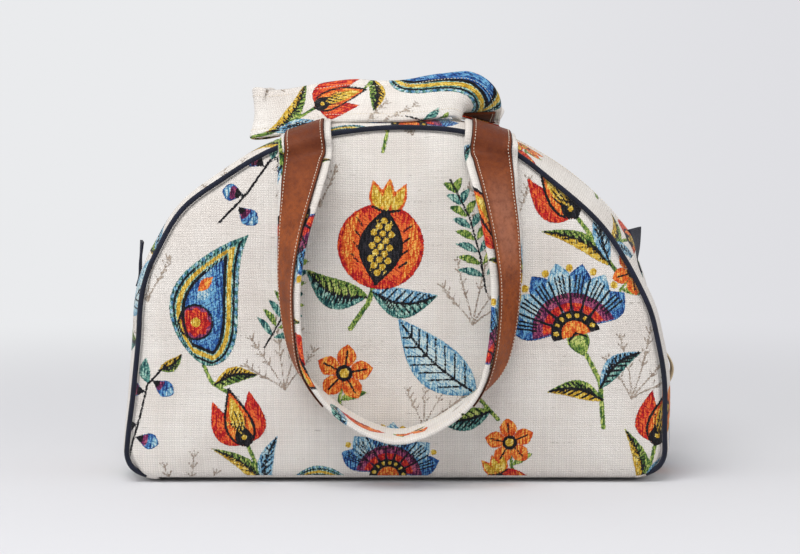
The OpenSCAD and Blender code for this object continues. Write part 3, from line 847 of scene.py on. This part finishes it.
navy_twill = make_twill("navy_twill", srgb(8, 12, 27), srgb(27, 34, 57), 0.0009)
right = np.concatenate([arch_line(0, 80, piping_out), lower_line(piping_out, piping_end)[1:]])
share = np.linspace(0, 1, piping_points)
cord_x, cord_z = along(np.concatenate([right[::-1] * (-1, 1), right[1:]]), share).T
tucked = tuck_depth * (1 - smooth(np.minimum(share, 1 - share), 0.0, tuck_share))
cord = columns(cord_x, seam_y + piping_out - tucked, cord_z + tucked / 3)
for side, points in (("front", settle(cord * (1, -1, 1))), ("back", cord)):
    path = make_path(points, (0.0, 1.0, 0.0))
    mesh = make_strip(side + "_piping_cord", path, round_section(piping_r - cord_sunk), (14, 420))
    sew_in(mesh, navy_twill, "piping", side + "_piping")

# Base and its board
# The underside is a plain length of the same tapestry, sewn to both panels and to the side strips.
# A stiff board lies loose on its lining and keeps it flat.
gusset_y = seam_y - wall
gusset_round = 0.45
gusset_swell = 0.010
base_set_in = 0.0003
base_edge = seam_y - base_set_in
base_cut = (0.11, 0.05)
turn = np.linspace(0, math.pi / 2, 24)
gusset_edge = columns(gusset_y * (1 - gusset_round * (1 - np.cos(turn))), np.sin(turn))
gusset_line = np.concatenate([gusset_edge, gusset_edge[::-1] * (-1, 1)])


def strip_section(swell):
    """Depth and rise of the strip between the panels, from the back seam to the front one."""
    return gusset_line * (1, swell)


def base_place(u, v):
    depth, rise = along(strip_section(seam_lift), v).T
    return columns(corner_x * (2 * u - 1), depth * base_edge / gusset_y, seam_lift - rise)


base_width = line_length(strip_section(seam_lift))
base_mesh = make_sheet(
    "base_cloth", (80, 44), base_place,
    lambda u, v: columns(u * 2 * corner_x, v * base_width) + base_cut,
)
base = finish_cloth(base_mesh, "base_panel", wall, figures={})


def make_grained(name, dark, light, scale, detail, roughness):
    material = new_material(name)
    tree = material.node_tree
    grain = noise(tree, object_spot(tree), scale, detail)
    return shade(material, mix(tree, grain, dark, light), roughness, grain, 0.0001)


def finish_node(name, material):
    """Gives a solid of the frame its finish."""
    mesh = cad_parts[name].data
    mesh.materials.clear()
    mesh.materials.append(material)


board_stock = make_grained("board_stock", srgb(34, 34, 36), srgb(58, 57, 56), 900.0, 3, 0.6)
finish_node("base_board", board_stock)

# Side strips
# One strip of tapestry down each side, from the seam at the zip's end to the base, sewn between the
# panels. They swell past the piping at the top and flatten towards the bottom corners.
side_cells = (114, 126)
side_bulge = 0.002
fall_shares = np.array([0, 5, 10, 17]) / 17
right_line = lower_line(0)
right_out = lower_line(1) - right_line
side_length = line_length(right_line)
side_width = line_length(strip_section(gusset_swell))
shoulder_share = line_length(right_line[:40]) / side_length
corner_share = line_length(right_line[40:]) / side_length


def side_swell(share):
    """How far the strip stands out of the seam at a share of its length, less near the base."""
    f = np.interp(share, [0, shoulder_share, 1 - corner_share, 1], fall_shares)
    return gusset_swell + (seam_lift - gusset_swell) * f + side_bulge * np.sin(math.pi * f)


def side_place(u, v):
    x, z, out_x, out_z = along(np.concatenate([right_line, right_out], axis=1), v, 2).T
    depth = gusset_y * (1 - 2 * u)
    rise = np.interp(-depth, -gusset_line[:, 0], gusset_line[:, 1]) * side_swell(v)
    depth *= 1 + (base_edge / gusset_y - 1) * (1 - smooth(z, *rim_turn_z))
    return columns(x + out_x * rise, depth, z + out_z * rise)


for side, sign, side_cut in (("right", 1, (0.03, 0.11)), ("left", -1, (0.03, -0.07))):
    mesh = make_sheet(
        "side_strip_" + side, side_cells,
        lambda u, v: settle(side_place(u if sign > 0 else 1 - u, v) * (sign, 1, 1)),
        lambda u, v: columns(u * side_width, side_length * (1 - v)) + side_cut,
    )
    strip = finish_cloth(mesh, "side_gusset_" + side, wall)

# Zip strips
# Two strips of tapestry over the arch, each turned under and stitched along the zip, and sewn
# to its panel with the piping between.
zip_gap = 0.018
zip_cells = (54, 320)
zip_cut = (0.2, 0.0)
zip_strip_line = np.concatenate([gusset_edge, [[zip_gap / 2, 1.0]]])
zip_strip_width = line_length(zip_strip_line * (1, gusset_swell))
zip_strip_length = math.radians(2 * arch_angle) * (arch_r + gusset_swell)


def zip_strip_place(u, v):
    depth, rise = along(zip_strip_line * (1, gusset_swell), 1 - u).T
    t = np.radians(arch_angle * (2 * v - 1))
    return columns((arch_r + rise) * np.sin(t), -depth, arch_z + (arch_r + rise) * np.cos(t))


for side, sign in (("front", 1), ("back", -1)):
    mesh = make_sheet(
        "zip_strip_" + side, zip_cells,
        lambda u, v: settle(zip_strip_place(u, v if sign > 0 else 1 - v) * (1, sign, 1)),
        lambda u, v: zip_cut + columns(
            v * zip_strip_length, (u if sign < 0 else 1 - u) * zip_strip_width
        ),
    )
    strip = finish_cloth(mesh, "zip_gusset_" + side, wall)

# Zip
# A brass chain on two navy tapes, the tapes sewn under the turned edges of the zip strips.
# The slider runs on the chain between two stops, and its puller swings on a pin.
zip_tape_cloth = new_material("zip_tape_cloth")
tree = zip_tape_cloth.node_tree
spot = object_spot(tree)
cords = rib(tree, add(tree, "SeparateXYZ", spot).outputs["Y"], 0.0011)
fibre = noise(tree, spot, 1500.0, 2)
tone = scaled(tree, fibre, 0.6, times(tree, cords, 0.4))
shade(zip_tape_cloth, mix(tree, tone, srgb(18, 22, 40), srgb(44, 52, 78)), 0.8, cords, 0.0002)

brass = new_material("worn_brass")
tree = brass.node_tree
spot = object_spot(tree)
tarnish = ramp(tree, noise(tree, spot, 260.0, 4), 0.4, 0.68)
scratch = noise(tree, stretched(tree, spot, (900, 4000, 900)), 1.0, 2)
colour = mix(tree, tarnish, srgb(196, 164, 104), srgb(132, 104, 66))
gloss = scaled(tree, tarnish, 0.2, scaled(tree, scratch, 0.15, 0.22))
shade(brass, colour, gloss, scratch, 0.00004, metallic=1.0)
for side in ("front", "back"):
    finish_node("zip_tape_" + side, zip_tape_cloth)
    finish_node("zip_teeth_" + side, brass)
for name in ("zip_top_stop", "zip_bottom_stop", "zip_slider", "zip_puller"):
    finish_node(name, brass)

stitch_radius = 0.00032
stitch_length = 0.0022
stitch_pitch = 0.0028


def make_stitches(name, rows, thread):
    """Rows of short stitches in one piece. Each row is a path whose points lie on the cloth."""
    bm = bmesh.new()
    bmesh.ops.create_uvsphere(bm, u_segments=6, v_segments=3, radius=1.0)
    for face in bm.faces:
        face.smooth = True
    mesh = bpy.data.meshes.new(name)
    bm.to_mesh(mesh)
    ball = np.array([v.co for v in bm.verts]) * (stitch_length / 2, stitch_radius, stitch_radius)
    spots = []
    for path in rows:
        length = line_length(path[:, :3])
        middles = (np.arange(int(length / stitch_pitch)) + 0.5) * stitch_pitch
        spots.append(along(path, middles / length, 3))
    place, across, out = np.split(np.concatenate(spots)[:, None], 3, axis=2)
    for _ in range(len(place) - 1):
        bm.from_mesh(mesh)
    bm.to_mesh(mesh)
    bm.free()
    points = place + ball[:, :1] * np.cross(across, out) + ball[:, 1:2] * across + ball[:, 2:] * out
    write_points(mesh.vertices, "co", points)
    mesh.update()
    return sew_in(mesh, thread, "tapestry")


cream_thread = make_grained(
    "cream_thread", srgb(206, 192, 170), srgb(240, 232, 216), 1400.0, 2, 0.7
)
zip_margin = 0.0035
stitched_angle = arch_angle - 2


def zip_stitch_row(y, out):
    """A row along the arch at this depth, just proud of the strip."""
    x, z = arc(0, arch_z, arch_r + gusset_swell + out, -stitched_angle, stitched_angle, 240).T
    return make_path(settle(columns(x, np.full(240, y), z)), (0.0, -1.0, 0.0))


zip_rows = [
    zip_stitch_row(way * (zip_gap / 2 + zip_margin), stitch_radius * 0.6) for way in (-1, 1)
]
make_stitches("zip_stitches", zip_rows, cream_thread)

# Zip tabs
# Short lengths of navy tape, folded double and sewn to the side strips below each end of the zip.
# They stand up against the zip's ends, and the right one is turned to the front.
tab_length = 0.030
tab_width = 0.024
tab_thick = 0.0024
tab_y = -0.020
sew_gap = 0.0003
path_steps = 12


def flat_section(width, thick, lift=0.0):
    """A flat section with rounded edges, that starts in the middle of its underside."""
    half, r = width / 2, thick / 2
    turn = np.radians(np.linspace(-90, 90, 9))
    right = columns(half - r + r * np.cos(turn), r * np.sin(turn))
    return np.concatenate([[[0, -r]], right, right[::-1] * (-1, 1), [[0, -r]]]) + (0, lift)


def smooth_path(stations):
    """A smooth path through stations of three places and three directions across."""
    p = np.array(stations, float)
    padded = np.concatenate([p[:1], p, p[-1:]])
    fine = []
    for a, b, c, d in zip(padded, padded[1:], padded[2:], padded[3:]):
        for t in np.arange(path_steps) / path_steps:
            bend, curl = 2 * a - 5 * b + 4 * c - d, 3 * b - a - 3 * c + d
            fine.append(0.5 * (2 * b + (c - a) * t + bend * t**2 + curl * t**3))
    fine = np.array(fine + [p[-1]])
    return make_path(fine[:, :3], fine[:, 3:])


def on_shoulder(angle):
    """A point of the shoulder's middle, just off the strip at this angle."""
    share = (angle - arch_angle) / (side_angle - arch_angle) * shoulder_share
    out = shoulder_r + side_swell(share) + tab_thick / 2 + sew_gap
    x, z = polar(angle, out)
    return shoulder_x + x, shoulder_z + z


def tab_path(side, start, lean, turn):
    """A tab from this angle of the shoulder, that leans, turns to the front and sinks with it."""
    foot_x, foot_z = on_shoulder(start)
    low_x, low_z = on_shoulder(start + 4)
    path = smooth_path([
        (side * x, tab_y, z, side * across, 1, 0) for x, z, across in (
            (low_x, low_z, 0),
            (foot_x + 0.0003, foot_z + 0.001, 0.05),
            (foot_x + 0.4 * lean + 0.0005, foot_z + 0.45 * tab_length, turn / 2),
            (foot_x + lean, foot_z + tab_length, turn),
        )
    ])
    path[:, :3] += settle(path[:1, :3]) - path[:1, :3]
    return path


navy_tape = make_twill("navy_tape", srgb(12, 14, 26), srgb(34, 40, 62), 0.0011)
for side, path in (
    ("right", tab_path(1, arch_angle + 7, -0.002, 0.6)),
    ("left", tab_path(-1, arch_angle + 15, -0.0015, 0.15)),
):
    mesh = make_strip("zip_tab_tape_" + side, path, flat_section(tab_width, tab_thick), (40, 30))
    tab = sew_in(mesh, navy_tape, "piping", "zip_tab_" + side)

# Side loop
# A loop of plain tan tape on the lower half of the right side strip, woven in twill, sewn down
# at both ends and bowed between them.
loop_low = 0.069
loop_length = 0.032
loop_width = 0.020
loop_thick = 0.0015
loop_bow = 0.006


def side_surface(height):
    """How far out the middle of the right side strip stands at this height."""
    v = np.linspace(0.05, 0.95, 400)
    skin = side_place(np.full(400, 0.5), v)
    return np.interp(-height, -skin[:, 2], skin[:, 0])


share = np.linspace(0, 1, 60)
loop_z = loop_low + loop_length * share
loop_x = side_surface(loop_z) + loop_thick / 2 + sew_gap + loop_bow * np.sin(math.pi * share)
loop_path = make_path(settle(columns(loop_x, np.zeros(60), loop_z)), (0.0, 1.0, 0.0))
tan_tape = make_twill("tan_tape", srgb(190, 168, 134), srgb(228, 212, 182), 0.0010)
loop_mesh = make_strip("side_loop_tape", loop_path, flat_section(loop_width, loop_thick), (40, 40))
loop = sew_in(loop_mesh, tan_tape, "tan_tape", "side_loop")

# Handles
# Two straps of tapestry folded over webbing and stitched along both edges, their ends sewn to the
# zip strips. The front one hangs in a loop over the panel, the back one is turned up over the zip.
strap_width = 0.044
strap_thick = 0.004
leg_x = 0.076
sewn_length = 0.028
front_grip_z = 0.043
strap_lift = gusset_swell + sew_gap + strap_thick / 2
over_piping = seam_y + piping_out + piping_r + strap_thick / 2
hang_gap = 0.0006
hang_face = -seam_y - panel_swell - strap_thick / 2 - hang_gap
back_leg_x = 0.068
leg_tilt = math.asin(leg_x / (arch_r + strap_lift))
back_tilt = math.asin(back_leg_x / (arch_r + strap_lift))
leg_across = (-math.cos(leg_tilt), 0, math.sin(leg_tilt))


def top_z(x, out):
    """Height of the arch over a place across the bag, this far out of the seam line."""
    return arch_z + math.sqrt((arch_r + out) ** 2 - x**2)


def over_arch(y, out):
    return (leg_x, y, top_z(leg_x, out), *leg_across)


def hang(x, z, angle, dip=0.0):
    """A station of the hanging strap, turned by an angle until it is edge-on to the panel."""
    side, flat = polar(angle, 1)
    return (x, hang_face - (strap_width - strap_thick) / 2 * side, z, -flat, -side, -dip)


def front_half(turn):
    """One leg from its sewn end to the middle of the grip. The left one is turned further."""
    return [
        over_arch(sewn_length - seam_y, strap_lift),
        over_arch(-gusset_y * 0.86, strap_lift - 0.0007),
        over_arch(-over_piping + 0.008, strap_lift - 0.0024),
        over_arch(-over_piping - 0.0015, piping_out + 0.002),
        over_arch(-over_piping - 0.0045, -0.010),
        hang(leg_x + 0.003, 0.245, 34),
        hang(leg_x + 0.009, 0.207, 46 * turn),
        hang(leg_x + 0.012, 0.168, 55 * turn),
        hang(leg_x + 0.009, 0.127, 61 * turn),
        hang(leg_x + 0.001, front_grip_z + 0.054, 68 * turn),
        hang(leg_x - 0.018, front_grip_z + 0.029, 88, 0.06),
        hang(leg_x - 0.042, front_grip_z + 0.011, 90, 0.09),
        hang(leg_x - 0.063, front_grip_z + 0.002, 90, 0.09),
        hang(0, front_grip_z, 90, 0.09),
    ]


def flip_x(station):
    x, y, z, across_x, across_y, across_z = station
    return (-x, y, z, -across_x, across_y, across_z)


over_zip = 0.01958
fold_r = 0.0076
grip_left_z = 0.303
grip_right_z = 0.319
grip_foot = sewn_length - seam_y + 0.003
lies = (math.cos(back_tilt), 0, -math.sin(back_tilt))


def leg(x, y, out, across=lies):
    return (x, y, top_z(x, out), *across)


def folded(angle):
    """A station of the fold in which a back leg turns back over its sewn end."""
    a = math.radians(angle)
    r = arch_r + strap_lift + fold_r * (1 + math.sin(a))
    y = over_piping - 0.003 + fold_r * math.cos(a)
    return (r * math.sin(back_tilt), y, arch_z + r * math.cos(back_tilt), *lies)


def grip(x, foot_y, lean, lift=0.0):
    """A station of the raised grip, which leans back, its lower edge over the strip at foot_y."""
    f = min(1, (1 - abs(foot_y) / gusset_y) / gusset_round)
    a = math.radians(lean)
    z = top_z(x, gusset_swell * math.sqrt(1 - (1 - f) ** 2)) + 2 * sew_gap + lift
    z += (strap_width * math.cos(a) + strap_thick * math.sin(a)) / 2
    return (x, foot_y + strap_width / 2 * math.sin(a), z, 0, math.sin(a), math.cos(a))


def turned(height, *stations):
    """Stations by their place off the sewn end, depth, rise over a height and direction across."""
    return [(back_leg_x + x, y, height + z, *across) for x, y, z, *across in stations]


back_fold = [
    leg(back_leg_x, seam_y - sewn_length, strap_lift),
    leg(back_leg_x, gusset_y * 0.86, strap_lift - 0.0003),
    *(folded(angle) for angle in (-90, -45, 0, 45, 90)),
]
grip_mid = grip(0, 0.004 - gusset_y, 41)
back_left = back_fold + [
    leg(back_leg_x + 0.005, gusset_y - 0.025, over_zip + 0.007),
    leg(back_leg_x + 0.013, 0.032, over_zip + 0.005, (1, 0, 0.05)),
    *turned(
        grip_left_z, (0.022, 0.006, 0.005, 0.85, 0, 0.5), (0.036, -0.016, 0.001, 0.4, 0.2, 0.88),
        (0.046, -0.030, -0.0005, 0.1, 0.4, 0.9), (0.050, -0.042, 0, 0, 0.5, 0.87),
        (0.042, -0.050, 0, 0, 0.5, 0.83),
    ),
    grip(back_leg_x + 0.020, grip_foot, 37, 0.0025),
    grip(back_leg_x - 0.012, grip_foot - 0.001, 42, 0.0005),
    grip(back_leg_x - 0.040, 0.009 - gusset_y, 43),
    grip_mid,
]
back_right = back_fold + [
    leg(back_leg_x + 0.0035, gusset_y - 0.025, over_zip + 0.007),
    leg(back_leg_x - 0.001, 0.022, over_zip + 0.001),
    leg(back_leg_x - 0.003, -0.012, over_zip + 0.001, (0.98, 0, -0.15)),
    *turned(
        grip_right_z, (-0.003, -0.034, -0.013, 1, 0, 0.05),
        (-0.005, -0.046, -0.007, 0.85, 0.1, 0.5), (-0.013, -0.053, -0.0015, 0.45, 0.4, 0.82),
        (-0.028, -0.057, -0.0005, 0, 0.62, 0.79),
    ),
    grip(back_leg_x - 0.048, 0.007 - gusset_y, 41, 0.0015),
    grip_mid,
]
strap_paths = {
    "front": smooth_path([flip_x(s) for s in front_half(1.2)] + front_half(1)[-2::-1]),
    "back": smooth_path([flip_x(s) for s in back_left] + back_right[-2::-1]),
}
for side, cut in (("front", (0.10, 0.02)), ("back", (0.286, 0.105))):
    path = strap_paths[side]
    mesh = make_strip(side + "_strap", path, flat_section(strap_width, strap_thick), (64, 420), cut)
    weave_picture(mesh)
    strap = sew_in(mesh, tapestry, "tapestry", side + "_handle")

# Leather facings
# A strip of oiled brown leather faces each handle leg, with burnished edges, sewn on
# with cream thread a few millimetres in from both edges.
leather_width = 0.034
leather_thick = 0.0016
leather_gap = 0.0005
leather_lift = strap_thick / 2 + leather_thick / 2 + leather_gap
leather_section = flat_section(leather_width, leather_thick, leather_lift)
leather_stations = {"front": {"left": 10, "right": 10}, "back": {"left": 9, "right": 10}}
leather_margin = 0.0030
strap_margin = 0.007


def make_leather():
    material = new_material("brown_leather")
    tree = material.node_tree
    hide = weave_spot(tree, 0.001)
    cloud = noise(tree, hide, 0.045, 5, 0.6)
    pull = noise(tree, hide, 0.22, 4, 0.65)
    pore = add(tree, "TexVoronoi", hide, None, 1.1)
    tone = scaled(tree, pull, 0.6, times(tree, cloud, 0.7))
    colour = mix(tree, ramp(tree, tone, 0.36, 0.95), srgb(98, 42, 17), srgb(166, 88, 42))
    axes = add(tree, "SeparateXYZ", object_spot(tree))
    height = axes.outputs["Z"]
    # Painted shade: the leather is darker towards the top of the handles, which face away from the
    # light
    top_shade = ramp(tree, height, 0.20, 0.29, 0.0, 0.72)
    colour = mix(tree, top_shade, colour, srgb(82, 33, 13))
    rim = add(tree, "Attribute", attribute_name="across").outputs["Fac"]
    # A painted sheen lightens the front right leg along its middle, where it bows out to the light
    painted_sheen = ramp(tree, rim, 0.40, 0.85, 0.5, 0.1)
    for part in (
        ramp(tree, height, 0.165, 0.205), ramp(tree, height, 0.225, 0.265, 1.0, 0.0),
        ramp(tree, axes.outputs["X"], 0.0, 0.05), ramp(tree, pull, 0.32, 0.6, 0.6, 1.0),
    ):
        painted_sheen = times(tree, painted_sheen, part)
    colour = mix(tree, painted_sheen, colour, srgb(192, 130, 104))
    colour = mix(tree, ramp(tree, rim, 0.90, 0.985), colour, srgb(58, 30, 20))
    dull = ramp(tree, pull, 0.3, 0.75, 0.46, 0.64)
    grain = scaled(tree, pull, 0.8, ramp(tree, pore, 0.0, 0.55))
    return shade(material, colour, dull, grain, 0.00022, specular=0.2)


brown_leather = make_leather()


def leg_path(side, hand):
    """The stretch of a strap's path that the leather of this leg covers."""
    path = strap_paths[side]
    first, last = path_steps // 3, leather_stations[side][hand] * path_steps
    if hand == "left":
        return path[first:last + 1]
    return path[len(path) - 1 - last:len(path) - first]


def shifted_path(path, across, out):
    """A path moved across and out of its piece's face."""
    moved = path.copy()
    moved[:, :3] += across * path[:, 3:6] + out * path[:, 6:9]
    return moved


def mark_across(mesh, path, width):
    """Keeps how far each point lies from the middle of its strip, from 0 to 1 at the edge."""
    spot = read_points(mesh.vertices, "co", 3)
    tree = KDTree(len(path))
    for k, point in enumerate(path[:, :3]):
        tree.insert(point, k)
    tree.balance()
    near = np.array([tree.find(point)[1] for point in spot])
    off = np.sum((spot - path[near, :3]) * path[near, 3:6], axis=1)
    keep(mesh, "across", np.clip(abs(off) / (width / 2), 0, 1))


for side in ("front", "back"):
    for hand in ("left", "right"):
        path = leg_path(side, hand)
        name = f"{side}_handle_leather_{hand}"
        mesh = make_strip(name + "_hide", path, leather_section, (40, 190))
        mark_across(mesh, path, leather_width)
        facing = sew_in(mesh, brown_leather, "leather", name)
        surface = leather_lift + leather_thick / 2 + stitch_radius * 0.5
        inset = leather_width / 2 - leather_margin
        rows = [shifted_path(path, way * inset, surface) for way in (-1, 1)]
        make_stitches(name + "_stitches", rows, cream_thread)
    surface = strap_thick / 2 + stitch_radius * 0.3
    strap_rows = [
        shifted_path(strap_paths[side], way * (strap_width / 2 - strap_margin), face * surface)
        for way in (-1, 1) for face in (-1, 1)
    ]
    make_stitches(side + "_strap_stitches", strap_rows, cream_thread)
